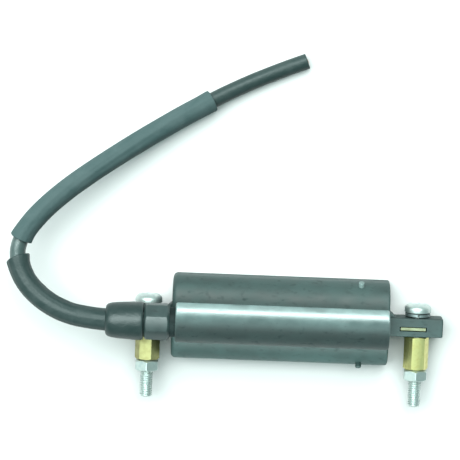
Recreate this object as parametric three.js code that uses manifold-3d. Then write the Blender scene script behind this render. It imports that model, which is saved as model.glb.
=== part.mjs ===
// Single-lead external ignition coil for a small engine.
//
// The moulded housing has a flat back, a half-round front and a round high-tension tower along its
// whole front. An ear at each end carries a screw, a brass hex spacer and a nut. The high-tension
// lead leaves the left end of the tower through an octagonal gland nut and a rubber boot.
//
// Millimetres. X runs along the housing, Y across it towards the screw heads, Z away from the flat
// back, which lies in the plane Z = 0. The origin is midway between the two screws.

import * as THREE from 'three';
import { mergeVertices } from 'three/addons/utils/BufferGeometryUtils.js';
import Module from 'manifold-3d';

const wasm = await Module();
wasm.setup();

// ---- driving dimensions ----

const FIT_GAP = 0.3; // clearance between pieces that sit against each other
const THROUGH = 5; // how far a cutting tool runs past the material
const OVERLAP = 1; // how far joined pieces and crossing tools run into each other

// housing
const BODY_LEFT = -49.5;
const BODY_RIGHT = 47.2;
const BODY_HALF_WIDTH = 18.7;
const FLANK_HEIGHT = 8;
const SHOULDER_RADIUS = 12;
const BODY_EDGE = 1.4;
const WALL = 2.2;

// tower, gland and the lead's socket
const TOWER_Z = 26;
const TOWER_RADIUS = 8.75;
const TOWER_LEFT = -47.6;
const TOWER_RIGHT = 46.7;
const TOWER_EDGE = 0.9;
const TOWER_CAVITY_RADIUS = 6.3;
const TOWER_CAVITY_LEFT = -20;
const TOWER_SLOT_WIDTH = 7;
const NECK_RADIUS = 6.5;
const NECK_LEFT = -57.8;
const SOCKET_RADIUS = 3.8;
const SOCKET_END = -24;
const GLAND_NUT = { left: -61.4, right: -50.1, flatRadius: 7.95, cornerRadius: 8.45, chamfer: 1.3 };
const GLAND_BORE_RADIUS = 6.8;
const GLAND_BORE_END = -60.1;
const GLAND_MOUTH_RADIUS = 4.9;
const BOOT_LEFT = -78.4;

// mounting ears and fasteners
const BOLT_X = 60;
const BOLT_Z = 11.5;
const EAR_END = 71.2;
const EAR_HALF_THICKNESS = 4.25;
const EAR_HALF_HEIGHT = 5.25;
const EAR_EDGE = 0.8;
const GUSSET = { reach: 2.6, halfHeight: 4.05 };
const BOLT_HOLE_RADIUS = 3.3;
const SCREW_RADIUS = 2.95;
const SCREW_HEAD = { seat: 6.35, top: 10.7, radius: 6 };
const RECESS = { depth: 2.2, reach: 2.6, halfWidth: 0.6 };
const SCREW_TIP = -36.3;
const LOCK_WASHER = { near: 4.55, far: 6.05, outer: 5.6, inner: 3.25, splitWidth: 0.7, splitLean: 0.5 };
const HEX_FLATS = 10;
const SPACER_START = -4.55;
const SPACER_END = -19.25;
const NUT_START = -19.55;
const NUT_END = -24.5;
const NUT_BORE_RADIUS = 3.15;

// contact plates that the screws pass through, each in a slot in its ear
const PLATE = { near: 52.35, far: 63.65, front: 0, back: -1.5, bottom: 6.65, top: 16.5 };
const PLATE_SLOT = { near: 52, far: 64, front: 0.3, back: -2.9, bottom: 6.6 };

// pegs on the two shoulders: lean is in degrees from Y, inner and outer from the shoulder's centre
const PEG = { x: 34.3, lean: 28, radius: 1.3, inner: 10.2, outer: 14.2, chamfer: 0.5 };

// coil, from the core outwards: half sizes across (y) and up (z), and where each starts and ends
const COIL_Z = 9;
const CORE = { y: 4.4, z: 2, left: -44, right: 42 };
const PRIMARY_BOBBIN = { innerY: 4.7, innerZ: 2.3, y: 5.2, z: 2.8, left: -42, right: 40 };
const PRIMARY_WINDING = { innerY: 5.5, innerZ: 3.1, y: 6.2, z: 3.9, left: -40.4, right: 38.4 };
const PRIMARY_FLANGE = { y: 6.2, z: 3.9, length: 1.2 };
const LAYER_PAPER = { innerY: 6.5, innerZ: 4.2, y: 6.8, z: 4.5, left: -41, right: 39 };
const SECONDARY_BOBBIN = { innerY: 7.1, innerZ: 4.8, y: 7.6, z: 5.3, left: -40, right: 38 };
const SECONDARY_WINDING = { innerY: 7.9, innerZ: 5.6, y: 9.2, z: 6.7 };
const SECONDARY_FLANGE = { y: 9.6, z: 7, length: 1.2 };
const SECTION_WALLS = 4;
const COVER_THICKNESS = 1.5;

// high-tension terminal inside the tower
const SPIKE = { radius: 0.75, tip: -31.2, taper: 2 };
const TERMINAL = { left: -26.0, right: -24.4, radius: 3.2, stemRadius: 0.9, stemEnd: -14.5 };
const HT_LINK = { x: -16, radius: 0.5, bottom: 16.1, top: 24.8 };

// primary links from the coil out to the contact plates
const LINK = { radius: 0.5, y: -0.75, outer: 52.05, innerLeft: 44.6, innerRight: 42.6 };

// high-tension lead and the two sleeves on it
const LEAD_RADIUS = 3.5;
const LEAD_BORE_RADIUS = 1.5;
const CONDUCTOR_RADIUS = 0.8;
const LEAD_INNER_END = -26.4;
const CONDUCTOR_INNER_END = -31.6;
const LEAD_STRAIGHT = [-45, -62]; // where the lead runs straight through the tower and the gland
const SLEEVE_INNER_RADIUS = 4.1;
const LOWER_SLEEVE = { start: 0.3, end: 51.8, radius: 5 };
const UPPER_SLEEVE = { start: 60.2, end: 165.5, radius: 4.85 };
const LEAD_STEP = 8;

// The lead's centreline outside the gland: it leaves the tower level, turns back over the coil in
// a wide bend and comes down to the surface that the coil lies on.
const LEAD_ROUTE = [
  [-78.4, 0.0, 26.0],
  [-86.0, 0.7, 25.9],
  [-93.5, 2.0, 25.7],
  [-101.0, 4.8, 25.3],
  [-108.1, 9.3, 24.6],
  [-113.7, 15.1, 23.9],
  [-117.2, 21.8, 23.2],
  [-118.3, 27.4, 22.5],
  [-117.7, 31.8, 22.0],
  [-115.9, 36.2, 21.4],
  [-112.2, 41.6, 20.4],
  [-106.2, 48.3, 19.1],
  [-98.4, 55.3, 17.5],
  [-89.2, 62.4, 15.6],
  [-78.7, 69.8, 13.5],
  [-68.7, 76.5, 11.7],
  [-58.5, 83.0, 9.8],
  [-48.2, 89.3, 8.1],
  [-39.8, 94.1, 6.9],
  [-33.4, 97.8, 6.1],
  [-27.0, 101.2, 5.4],
  [-18.4, 105.4, 4.6],
  [-9.8, 109.2, 4.1],
  [-1.2, 112.8, 3.7],
  [6.7, 115.9, 3.6],
];

// ---- colours ----

const LOOKS = {
  housing: { color: 0x2b3231, roughness: 0.35, metalness: 0 },
  gland: { color: 0x2e3534, roughness: 0.45, metalness: 0 },
  rubber: { color: 0x2a302f, roughness: 0.6, metalness: 0 },
  sleeve: { color: 0x2f3735, roughness: 0.65, metalness: 0 },
  lead: { color: 0x151918, roughness: 0.4, metalness: 0 },
  resin: { color: 0x1d2020, roughness: 0.4, metalness: 0 },
  brass: { color: 0xc9b45a, roughness: 0.3, metalness: 1 },
  zinc: { color: 0xb9c2c2, roughness: 0.3, metalness: 1 },
  steel: { color: 0x6c7070, roughness: 0.5, metalness: 1 },
  copper: { color: 0xa8623a, roughness: 0.4, metalness: 1 },
  paper: { color: 0xb99d6b, roughness: 0.8, metalness: 0 },
  nylon: { color: 0xd8d4c4, roughness: 0.5, metalness: 0 },
};

// ---- solids ----

function toSolid(geometry) {
  const bare = geometry.index ? geometry.toNonIndexed() : geometry.clone();
  bare.deleteAttribute('normal');
  bare.deleteAttribute('uv');
  const merged = mergeVertices(bare, 1e-4);
  const mesh = new wasm.Mesh({
    numProp: 3,
    vertProperties: Float32Array.from(merged.attributes.position.array),
    triVerts: Uint32Array.from(merged.index.array),
  });
  return new wasm.Manifold(mesh);
}

function toGeometry(solid) {
  const mesh = solid.getMesh();
  const geometry = new THREE.BufferGeometry();
  geometry.setAttribute('position', new THREE.BufferAttribute(mesh.vertProperties, mesh.numProp));
  geometry.setIndex(new THREE.BufferAttribute(mesh.triVerts, 1));
  geometry.computeVertexNormals();
  return geometry;
}

function joined(...geometries) {
  return geometries.map(toSolid).reduce((whole, next) => whole.add(next));
}

function cut(solid, ...tools) {
  return tools.map(toSolid).reduce((left, tool) => left.subtract(tool), solid);
}

// An outline in (a, b) pushed along the third axis. Its edges are rounded by `edge` at both ends.
function pushed(shape, length, edge, curveSegments) {
  return new THREE.ExtrudeGeometry(shape, {
    depth: length - 2 * edge,
    bevelEnabled: edge > 0,
    bevelThickness: edge,
    bevelSize: edge,
    bevelOffset: -edge,
    bevelSegments: 2,
    curveSegments,
  }).translate(0, 0, edge);
}

// Outline drawn in (y, z), pushed along X from x0 to x1.
function alongX(shape, x0, x1, edge = 0, curveSegments = 8) {
  const turn = new THREE.Matrix4().makeBasis(
    new THREE.Vector3(0, 1, 0),
    new THREE.Vector3(0, 0, 1),
    new THREE.Vector3(1, 0, 0),
  );
  return pushed(shape, x1 - x0, edge, curveSegments).applyMatrix4(turn).translate(x0, 0, 0);
}

// Outline drawn in (x, z), pushed towards -Y from yTop to yBottom.
function alongY(shape, yTop, yBottom, edge = 0, curveSegments = 8) {
  const turn = new THREE.Matrix4().makeBasis(
    new THREE.Vector3(1, 0, 0),
    new THREE.Vector3(0, 0, 1),
    new THREE.Vector3(0, -1, 0),
  );
  return pushed(shape, yTop - yBottom, edge, curveSegments).applyMatrix4(turn).translate(0, yTop, 0);
}

function block(x0, x1, y0, y1, z0, z1) {
  const box = new THREE.BoxGeometry(x1 - x0, y1 - y0, z1 - z0);
  return box.translate((x0 + x1) / 2, (y0 + y1) / 2, (z0 + z1) / 2);
}

// A solid of revolution about the Y axis from [radius, y] pairs that run upwards.
function turnedY(profile, segments) {
  return new THREE.LatheGeometry(profile.map(([radius, y]) => new THREE.Vector2(radius, y)), segments);
}

// A solid of revolution about an axis along X at height z, from [radius, x] pairs that run to +X.
function turnedX(profile, segments, y = 0, z = TOWER_Z) {
  return turnedY(profile, segments).rotateZ(-Math.PI / 2).translate(0, y, z);
}

function rodX(radius, x0, x1, segments, y = 0, z = TOWER_Z) {
  return turnedX([[0, x0], [radius, x0], [radius, x1], [0, x1]], segments, y, z);
}

function rodY(radius, y0, y1, segments, x, z) {
  return turnedY([[0, y0], [radius, y0], [radius, y1], [0, y1]], segments).translate(x, 0, z);
}

function rodZ(radius, z0, z1, segments, x) {
  return rodY(radius, z0, z1, segments, 0, 0).rotateX(Math.PI / 2).translate(x, 0, 0);
}

function rectangle(a0, a1, b0, b1) {
  const shape = new THREE.Shape();
  shape.moveTo(a0, b0);
  shape.lineTo(a1, b0);
  shape.lineTo(a1, b1);
  shape.lineTo(a0, b1);
  shape.closePath();
  return shape;
}

function polygon(sides, cornerRadius, turn) {
  const shape = new THREE.Shape();
  for (let i = 0; i < sides; i += 1) {
    const angle = turn + (2 * Math.PI * i) / sides;
    const point = [cornerRadius * Math.cos(angle), cornerRadius * Math.sin(angle)];
    if (i === 0) shape.moveTo(...point);
    else shape.lineTo(...point);
  }
  shape.closePath();
  return shape;
}

// ---- housing ----

// The housing's section: flat back, straight flanks and a quarter round on each shoulder.
function bodyOutline(inset, bottom) {
  const half = BODY_HALF_WIDTH - inset;
  const radius = SHOULDER_RADIUS - inset;
  const centre = half - radius;
  const shape = new THREE.Shape();
  shape.moveTo(-half, bottom);
  shape.lineTo(half, bottom);
  shape.lineTo(half, FLANK_HEIGHT);
  shape.absarc(centre, FLANK_HEIGHT, radius, 0, Math.PI / 2, false);
  shape.absarc(-centre, FLANK_HEIGHT, radius, Math.PI / 2, Math.PI, false);
  shape.closePath();
  return shape;
}

function towerSolid() {
  return turnedX([
    [0, NECK_LEFT],
    [NECK_RADIUS - TOWER_EDGE, NECK_LEFT],
    [NECK_RADIUS, NECK_LEFT + TOWER_EDGE],
    [NECK_RADIUS, TOWER_LEFT],
    [TOWER_RADIUS - TOWER_EDGE, TOWER_LEFT],
    [TOWER_RADIUS, TOWER_LEFT + TOWER_EDGE],
    [TOWER_RADIUS, TOWER_RIGHT - TOWER_EDGE],
    [TOWER_RADIUS - TOWER_EDGE, TOWER_RIGHT],
    [0, TOWER_RIGHT],
  ], 40);
}

// One ear with its gusset; side is -1 for the left and 1 for the right.
function earParts(side) {
  const wallX = side > 0 ? BODY_RIGHT : BODY_LEFT;
  const root = wallX - side * (WALL / 2);
  const near = Math.min(root, side * EAR_END);
  const far = Math.max(root, side * EAR_END);
  const ear = alongY(
    rectangle(near, far, BOLT_Z - EAR_HALF_HEIGHT, BOLT_Z + EAR_HALF_HEIGHT),
    EAR_HALF_THICKNESS,
    -EAR_HALF_THICKNESS,
    EAR_EDGE,
  );
  const reach = EAR_HALF_THICKNESS + GUSSET.reach;
  const gusset = new THREE.Shape();
  gusset.moveTo(root, 0);
  gusset.lineTo(wallX + side * reach, 0);
  gusset.lineTo(wallX, reach);
  gusset.lineTo(root, reach);
  gusset.closePath();
  const web = new THREE.ExtrudeGeometry(gusset, { depth: 2 * GUSSET.halfHeight, bevelEnabled: false });
  return [ear, web.translate(0, 0, BOLT_Z - GUSSET.halfHeight)];
}

function plateSlot(side) {
  const near = Math.min(side * PLATE_SLOT.near, side * PLATE_SLOT.far);
  const far = Math.max(side * PLATE_SLOT.near, side * PLATE_SLOT.far);
  const top = BOLT_Z + EAR_HALF_HEIGHT + THROUGH;
  return block(near, far, PLATE_SLOT.back, PLATE_SLOT.front, PLATE_SLOT.bottom, top);
}

// Leans a shape that stands on the Y axis out of one shoulder: side is 1 for +Y and -1 for -Y.
function fromShoulder(side, geometry) {
  const lean = THREE.MathUtils.degToRad(PEG.lean);
  return geometry
    .rotateX(side > 0 ? lean : Math.PI - lean)
    .translate(PEG.x, side * (BODY_HALF_WIDTH - SHOULDER_RADIUS), FLANK_HEIGHT);
}

function pegHole(side) {
  const hole = rodY(PEG.radius + FIT_GAP, PEG.inner - OVERLAP, PEG.outer + OVERLAP, 16, 0, 0);
  return fromShoulder(side, hole);
}

// The hole that a primary link passes through in an end wall, as far as the plate's slot.
function linkHole(side, wall) {
  const ends = [side * (wall - OVERLAP), side * (PLATE_SLOT.near + OVERLAP)].sort((a, b) => a - b);
  return rodX(LINK.radius + FIT_GAP, ...ends, 12, LINK.y, COIL_Z);
}

function housing() {
  const body = alongX(bodyOutline(0, 0), BODY_LEFT, BODY_RIGHT, BODY_EDGE);
  const outside = joined(body, towerSolid(), ...earParts(-1), ...earParts(1));
  const cavityLeft = BODY_LEFT + WALL;
  const cavityRight = BODY_RIGHT - WALL;
  const slotHalf = TOWER_SLOT_WIDTH / 2;
  const slotTop = TOWER_Z - TOWER_CAVITY_RADIUS + OVERLAP;
  const boltEnd = EAR_HALF_THICKNESS + THROUGH;
  const tools = [
    alongX(bodyOutline(WALL, -THROUGH), cavityLeft, cavityRight),
    rodX(TOWER_CAVITY_RADIUS, TOWER_CAVITY_LEFT, cavityRight, 32),
    block(TOWER_CAVITY_LEFT, cavityRight, -slotHalf, slotHalf, FLANK_HEIGHT, slotTop),
    rodX(SOCKET_RADIUS, NECK_LEFT - THROUGH, SOCKET_END, 28),
    rodX(TERMINAL.stemRadius + FIT_GAP, SOCKET_END - OVERLAP, TOWER_CAVITY_LEFT + OVERLAP, 16),
    linkHole(-1, -cavityLeft),
    linkHole(1, cavityRight),
  ];
  for (const side of [-1, 1]) {
    tools.push(rodY(BOLT_HOLE_RADIUS, -boltEnd, boltEnd, 28, side * BOLT_X, BOLT_Z));
    tools.push(plateSlot(side));
    tools.push(pegHole(side));
  }
  return cut(outside, ...tools);
}

// The resin that fills the cavity, with a trough at the back that the coil lies in.
function pottingFill() {
  const left = BODY_LEFT + WALL + FIT_GAP;
  const right = BODY_RIGHT - WALL - FIT_GAP;
  const bottom = COVER_THICKNESS + FIT_GAP;
  const slotHalf = TOWER_SLOT_WIDTH / 2 - FIT_GAP;
  const filled = joined(
    alongX(bodyOutline(WALL + FIT_GAP, bottom), left, right),
    rodX(TOWER_CAVITY_RADIUS - FIT_GAP, TOWER_CAVITY_LEFT + FIT_GAP, right - FIT_GAP, 32),
    block(TOWER_CAVITY_LEFT + OVERLAP, right - OVERLAP, -slotHalf, slotHalf, COIL_Z, TOWER_Z),
  );
  const troughHalf = SECONDARY_FLANGE.y + FIT_GAP;
  const troughTop = COIL_Z + SECONDARY_FLANGE.z + FIT_GAP;
  const troughLeft = CORE.left - OVERLAP;
  const troughRight = CORE.right + OVERLAP;
  return cut(
    filled,
    block(troughLeft, troughRight, -troughHalf, troughHalf, -THROUGH, troughTop),
    rodX(TERMINAL.stemRadius + FIT_GAP, SOCKET_END, TERMINAL.stemEnd + FIT_GAP, 16),
    rodX(LINK.radius + FIT_GAP, left - THROUGH, CORE.left, 12, LINK.y, COIL_Z),
    rodX(LINK.radius + FIT_GAP, CORE.right, right + THROUGH, 12, LINK.y, COIL_Z),
    rodZ(HT_LINK.radius + FIT_GAP, COIL_Z, TOWER_Z, 12, HT_LINK.x),
  );
}

function backCover() {
  const half = BODY_HALF_WIDTH - WALL - FIT_GAP;
  const outline = rectangle(-half, half, 0, COVER_THICKNESS);
  return alongX(outline, BODY_LEFT + WALL + FIT_GAP, BODY_RIGHT - WALL - FIT_GAP);
}

// ---- coil ----

// A rectangular tube along X around the coil's middle line.
function sleeveOf(size, left = size.left, right = size.right) {
  const shape = rectangle(-size.y, size.y, COIL_Z - size.z, COIL_Z + size.z);
  shape.holes.push(rectangle(-size.innerY, size.innerY, COIL_Z - size.innerZ, COIL_Z + size.innerZ));
  return alongX(shape, left, right);
}

function bobbin(tube, flange, wallCount) {
  const parts = [sleeveOf(tube)];
  const pitch = (tube.right - tube.left - flange.length) / (wallCount - 1);
  for (let i = 0; i < wallCount; i += 1) {
    const x = tube.left + i * pitch;
    const size = { innerY: tube.innerY, innerZ: tube.innerZ, y: flange.y, z: flange.z };
    parts.push(sleeveOf(size, x, x + flange.length));
  }
  return joined(...parts);
}

// The secondary winding's sections, one between each two walls of its bobbin.
function secondaryWindings() {
  const sections = SECTION_WALLS - 1;
  const pitch = (SECONDARY_BOBBIN.right - SECONDARY_BOBBIN.left - SECONDARY_FLANGE.length) / sections;
  const length = pitch - SECONDARY_FLANGE.length - 2 * FIT_GAP;
  const windings = [];
  for (let i = 0; i < sections; i += 1) {
    const left = SECONDARY_BOBBIN.left + i * pitch + SECONDARY_FLANGE.length + FIT_GAP;
    windings.push(sleeveOf(SECONDARY_WINDING, left, left + length));
  }
  return windings;
}

function coreStack() {
  return alongX(rectangle(-CORE.y, CORE.y, COIL_Z - CORE.z, COIL_Z + CORE.z), CORE.left, CORE.right);
}

// ---- high-tension parts ----

function terminal() {
  return turnedX([
    [0, SPIKE.tip],
    [SPIKE.radius, SPIKE.tip + SPIKE.taper],
    [SPIKE.radius, TERMINAL.left],
    [TERMINAL.radius, TERMINAL.left],
    [TERMINAL.radius, TERMINAL.right],
    [TERMINAL.stemRadius, TERMINAL.right],
    [TERMINAL.stemRadius, TERMINAL.stemEnd],
    [0, TERMINAL.stemEnd],
  ], 16);
}

function htLink() {
  return rodZ(HT_LINK.radius, HT_LINK.bottom, HT_LINK.top, 10, HT_LINK.x);
}

// An octagonal nut whose corners are turned away at both ends, with the lead's mouth at its left.
function glandNut() {
  const { left, right, flatRadius, cornerRadius, chamfer } = GLAND_NUT;
  const corner = flatRadius / Math.cos(Math.PI / 8);
  const octagon = alongX(polygon(8, corner, Math.PI / 8), left, right).translate(0, 0, TOWER_Z);
  const envelope = turnedX([
    [0, left],
    [cornerRadius - chamfer, left],
    [cornerRadius, left + chamfer],
    [cornerRadius, right - chamfer],
    [cornerRadius - chamfer, right],
    [0, right],
  ], 48);
  return cut(
    toSolid(octagon).intersect(toSolid(envelope)),
    rodX(GLAND_BORE_RADIUS, GLAND_BORE_END, right + THROUGH, 32),
    rodX(GLAND_MOUTH_RADIUS, left - THROUGH, right, 28),
  );
}

// A rubber boot that tapers from the gland nut down to a rounded nose round the lead.
function leadBoot() {
  const right = GLAND_NUT.left - FIT_GAP;
  return turnedX([
    [SOCKET_RADIUS, BOOT_LEFT],
    [6.1, BOOT_LEFT],
    [7.2, BOOT_LEFT + 0.9],
    [7.75, BOOT_LEFT + 2.6],
    [8.25, BOOT_LEFT + 8],
    [8.5, right - 1.4],
    [7.9, right],
    [SOCKET_RADIUS, right],
    [SOCKET_RADIUS, BOOT_LEFT],
  ], 36);
}

// The rubber ring that the gland nut squeezes between its end wall and the tower's neck.
function glandSeal() {
  const left = GLAND_BORE_END + FIT_GAP;
  const right = NECK_LEFT - FIT_GAP;
  const outer = GLAND_BORE_RADIUS - 2 * FIT_GAP;
  return turnedX([
    [SOCKET_RADIUS, left],
    [outer, left],
    [outer, right],
    [SOCKET_RADIUS, right],
    [SOCKET_RADIUS, left],
  ], 28);
}

// ---- fasteners ----

// A hexagonal prism along Y with turned-down corners and a round bore. turn is in degrees, and at
// 0 one flat faces up.
function hexPiece(yTop, yBottom, boreRadius, turn) {
  const corner = HEX_FLATS / 2 / Math.cos(Math.PI / 6);
  const prism = alongY(polygon(6, corner, THREE.MathUtils.degToRad(turn)), yTop, yBottom);
  const chamfer = 0.5;
  const envelope = turnedY([
    [0, yBottom],
    [corner - 2 * chamfer, yBottom],
    [corner, yBottom + chamfer],
    [corner, yTop - chamfer],
    [corner - 2 * chamfer, yTop],
    [0, yTop],
  ], 36);
  return cut(
    toSolid(prism).intersect(toSolid(envelope)),
    rodY(boreRadius, yBottom - THROUGH, yTop + THROUGH, 24, 0, 0),
  );
}

// A pan-head screw with a cross recess, pointing towards -Y.
function screw() {
  const { seat, top, radius } = SCREW_HEAD;
  const turned = toSolid(turnedY([
    [0, SCREW_TIP],
    [SCREW_RADIUS - 0.7, SCREW_TIP],
    [SCREW_RADIUS, SCREW_TIP + 0.8],
    [SCREW_RADIUS, seat],
    [radius - 0.2, seat],
    [radius, seat + 1.4],
    [radius - 0.7, top - 1.5],
    [radius - 2.2, top - 0.4],
    [0, top],
  ], 28));
  const { depth, reach, halfWidth } = RECESS;
  const floor = top - depth;
  return cut(
    turned,
    block(-reach, reach, floor, top + THROUGH, -halfWidth, halfWidth),
    block(-halfWidth, halfWidth, floor, top + THROUGH, -reach, reach),
  );
}

// A split spring washer: a flat ring with one slanting cut.
function lockWasher() {
  const { near, far, outer, inner, splitWidth, splitLean } = LOCK_WASHER;
  const ring = turnedY([[inner, near], [outer, near], [outer, far], [inner, far], [inner, near]], 28);
  const split = block(-splitWidth / 2, splitWidth / 2, -THROUGH, THROUGH, 0, outer + OVERLAP);
  return cut(toSolid(ring), split.rotateZ(splitLean).translate(0, (near + far) / 2, 0));
}

function contactPlate(side) {
  const near = Math.min(side * PLATE.near, side * PLATE.far);
  const far = Math.max(side * PLATE.near, side * PLATE.far);
  const sheet = block(near, far, PLATE.back, PLATE.front, PLATE.bottom, PLATE.top);
  return cut(toSolid(sheet), rodY(BOLT_HOLE_RADIUS, -THROUGH, THROUGH, 24, side * BOLT_X, BOLT_Z));
}

function primaryLink(side) {
  const inner = side > 0 ? LINK.innerRight : LINK.innerLeft;
  const ends = [side * inner, side * LINK.outer].sort((a, b) => a - b);
  return rodX(LINK.radius, ...ends, 10, LINK.y, COIL_Z);
}

function shoulderPeg(side) {
  const rod = turnedY([
    [0, PEG.inner],
    [PEG.radius, PEG.inner],
    [PEG.radius, PEG.outer - PEG.chamfer],
    [PEG.radius - PEG.chamfer, PEG.outer],
    [0, PEG.outer],
  ], 16);
  return fromShoulder(side, rod);
}

// ---- lead ----

function leadCurve(innerEnd) {
  const straight = [innerEnd, ...LEAD_STRAIGHT].map((x) => new THREE.Vector3(x, 0, TOWER_Z));
  const outside = LEAD_ROUTE.map((point) => new THREE.Vector3(...point));
  return new THREE.CatmullRomCurve3([...straight, ...outside], false, 'centripetal');
}

// A stretch of another curve, between two distances along it.
class Stretch extends THREE.Curve {
  constructor(whole, start, end) {
    super();
    this.whole = whole;
    this.from = start / whole.getLength();
    this.to = end / whole.getLength();
  }

  getPoint(t, target = new THREE.Vector3()) {
    return this.whole.getPointAt(this.from + t * (this.to - this.from), target);
  }
}

function tubeAlong(curve, radius, boreRadius, sides) {
  const section = polygon(sides, radius, 0);
  if (boreRadius > 0) section.holes.push(polygon(sides, boreRadius, 0));
  return new THREE.ExtrudeGeometry(section, {
    extrudePath: curve,
    steps: Math.ceil(curve.getLength() / LEAD_STEP),
  });
}

function sleeveAlong({ start, end, radius }) {
  const whole = leadCurve(LEAD_INNER_END);
  const gland = LEAD_INNER_END - BOOT_LEFT;
  const stretch = new Stretch(whole, gland + start, gland + end);
  return tubeAlong(stretch, radius, SLEEVE_INNER_RADIUS, 12);
}

// ---- assembly ----

const assembly = new THREE.Group();

function add(name, piece, look, place = [0, 0, 0]) {
  const geometry = piece.isBufferGeometry ? piece : toGeometry(piece);
  const mesh = new THREE.Mesh(geometry, new THREE.MeshStandardMaterial(LOOKS[look]));
  mesh.name = name;
  mesh.position.set(...place);
  assembly.add(mesh);
}

add('main_housing', housing(), 'housing');
add('potting_fill', pottingFill(), 'resin');
add('back_cover', backCover(), 'resin');

add('core_stack', coreStack(), 'steel');
add('primary_bobbin', bobbin(PRIMARY_BOBBIN, PRIMARY_FLANGE, 2), 'nylon');
add('primary_winding', sleeveOf(PRIMARY_WINDING), 'copper');
add('layer_paper', sleeveOf(LAYER_PAPER), 'paper');
add('secondary_bobbin', bobbin(SECONDARY_BOBBIN, SECONDARY_FLANGE, SECTION_WALLS), 'nylon');
secondaryWindings().forEach((winding, i) => add(`secondary_winding_${i + 1}`, winding, 'copper'));

add('ht_terminal', terminal(), 'brass');
add('ht_link', htLink(), 'copper');
add('gland_nut', glandNut(), 'gland');
add('gland_seal', glandSeal(), 'rubber');
add('lead_boot', leadBoot(), 'rubber');
add('lead_insulation', tubeAlong(leadCurve(LEAD_INNER_END), LEAD_RADIUS, LEAD_BORE_RADIUS, 10), 'lead');
add('lead_conductor', tubeAlong(leadCurve(CONDUCTOR_INNER_END), CONDUCTOR_RADIUS, 0, 8), 'copper');
add('lower_sleeve', sleeveAlong(LOWER_SLEEVE), 'rubber');
add('upper_sleeve', sleeveAlong(UPPER_SLEEVE), 'sleeve');

for (const [side, name] of [[-1, 'left'], [1, 'right']]) {
  const bolt = [side * BOLT_X, 0, BOLT_Z];
  const spacer = hexPiece(SPACER_START, SPACER_END, BOLT_HOLE_RADIUS, side > 0 ? -8 : 12);
  const nut = hexPiece(NUT_START, NUT_END, NUT_BORE_RADIUS, 30);
  add(`contact_plate_${name}`, contactPlate(side), 'brass');
  add(`primary_link_${name}`, primaryLink(side), 'copper');
  add(`screw_${name}`, screw(), 'zinc', bolt);
  add(`lock_washer_${name}`, lockWasher(), 'zinc', bolt);
  add(`hex_spacer_${name}`, spacer, 'brass', bolt);
  add(`nut_${name}`, nut, 'zinc', bolt);
}
add('shoulder_peg_front', shoulderPeg(1), 'housing');
add('shoulder_peg_rear', shoulderPeg(-1), 'housing');

export default assembly;
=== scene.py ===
# Looks of a single-lead ignition coil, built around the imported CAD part.
#
# Metres, in the row frame: X runs along the housing, Y across it towards the screw heads, and Z
# away from the flat back, which lies on the floor at Z = 0.

import bisect
import math

import bpy
from mathutils import Matrix, Vector, noise


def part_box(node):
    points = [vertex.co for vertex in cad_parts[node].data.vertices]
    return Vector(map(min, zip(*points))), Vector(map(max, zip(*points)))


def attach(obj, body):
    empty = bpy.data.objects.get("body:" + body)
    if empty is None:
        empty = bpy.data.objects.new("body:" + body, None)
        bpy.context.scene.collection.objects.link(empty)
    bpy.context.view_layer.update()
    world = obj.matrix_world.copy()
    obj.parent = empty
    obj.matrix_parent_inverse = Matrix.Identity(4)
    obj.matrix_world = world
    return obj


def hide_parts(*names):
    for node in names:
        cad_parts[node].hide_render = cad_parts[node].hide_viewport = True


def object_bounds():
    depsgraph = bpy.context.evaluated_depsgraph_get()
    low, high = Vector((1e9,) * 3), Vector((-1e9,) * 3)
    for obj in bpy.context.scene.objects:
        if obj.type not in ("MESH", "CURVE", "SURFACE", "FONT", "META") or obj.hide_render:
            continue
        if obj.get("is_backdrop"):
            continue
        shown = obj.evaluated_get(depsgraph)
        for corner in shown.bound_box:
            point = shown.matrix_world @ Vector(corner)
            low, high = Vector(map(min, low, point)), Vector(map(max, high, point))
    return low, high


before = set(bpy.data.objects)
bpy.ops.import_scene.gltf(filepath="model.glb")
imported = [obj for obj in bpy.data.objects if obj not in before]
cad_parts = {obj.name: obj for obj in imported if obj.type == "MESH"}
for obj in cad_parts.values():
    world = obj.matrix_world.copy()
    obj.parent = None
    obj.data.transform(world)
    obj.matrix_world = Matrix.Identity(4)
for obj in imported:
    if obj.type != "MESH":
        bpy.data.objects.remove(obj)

CAD_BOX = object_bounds()
MM = 0.001
BODY = "coil_body"
OVERRUN = 1.0 * MM  # how far a cutting tool runs past what it cuts
LONG_OVERRUN = 5.0 * MM
ALONG_X = Vector((1, 0, 0))
ALONG_Y = Vector((0, 1, 0))
UP = Vector((0, 0, 1))

# ---- driving sizes ----

# camera: a long lens almost straight above, leaning towards the screw heads
VIEW_CENTRE = Vector((-25.1, 40.0, 11.5)) * MM
VIEW_WIDTH = 204.4 * MM
VIEW_DISTANCE = 1.2
VIEW_LEAN = math.radians(7.3)
VIEW_ROLL = math.radians(2.2)
SENSOR_WIDTH = 36.0

# housing
BODY_LEFT = -49.5 * MM
BODY_RIGHT = 47.2 * MM
BODY_HALF_WIDTH = 18.7 * MM
FLANK_HEIGHT = 8.0 * MM
SHOULDER_RADIUS = 12.0 * MM
SHOULDER_Y = BODY_HALF_WIDTH - SHOULDER_RADIUS
FOOT_RADIUS = 0.5 * MM
LEFT_EDGE = 2.0 * MM
RIGHT_EDGE = 0.9 * MM
WALL = 2.2 * MM

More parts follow.
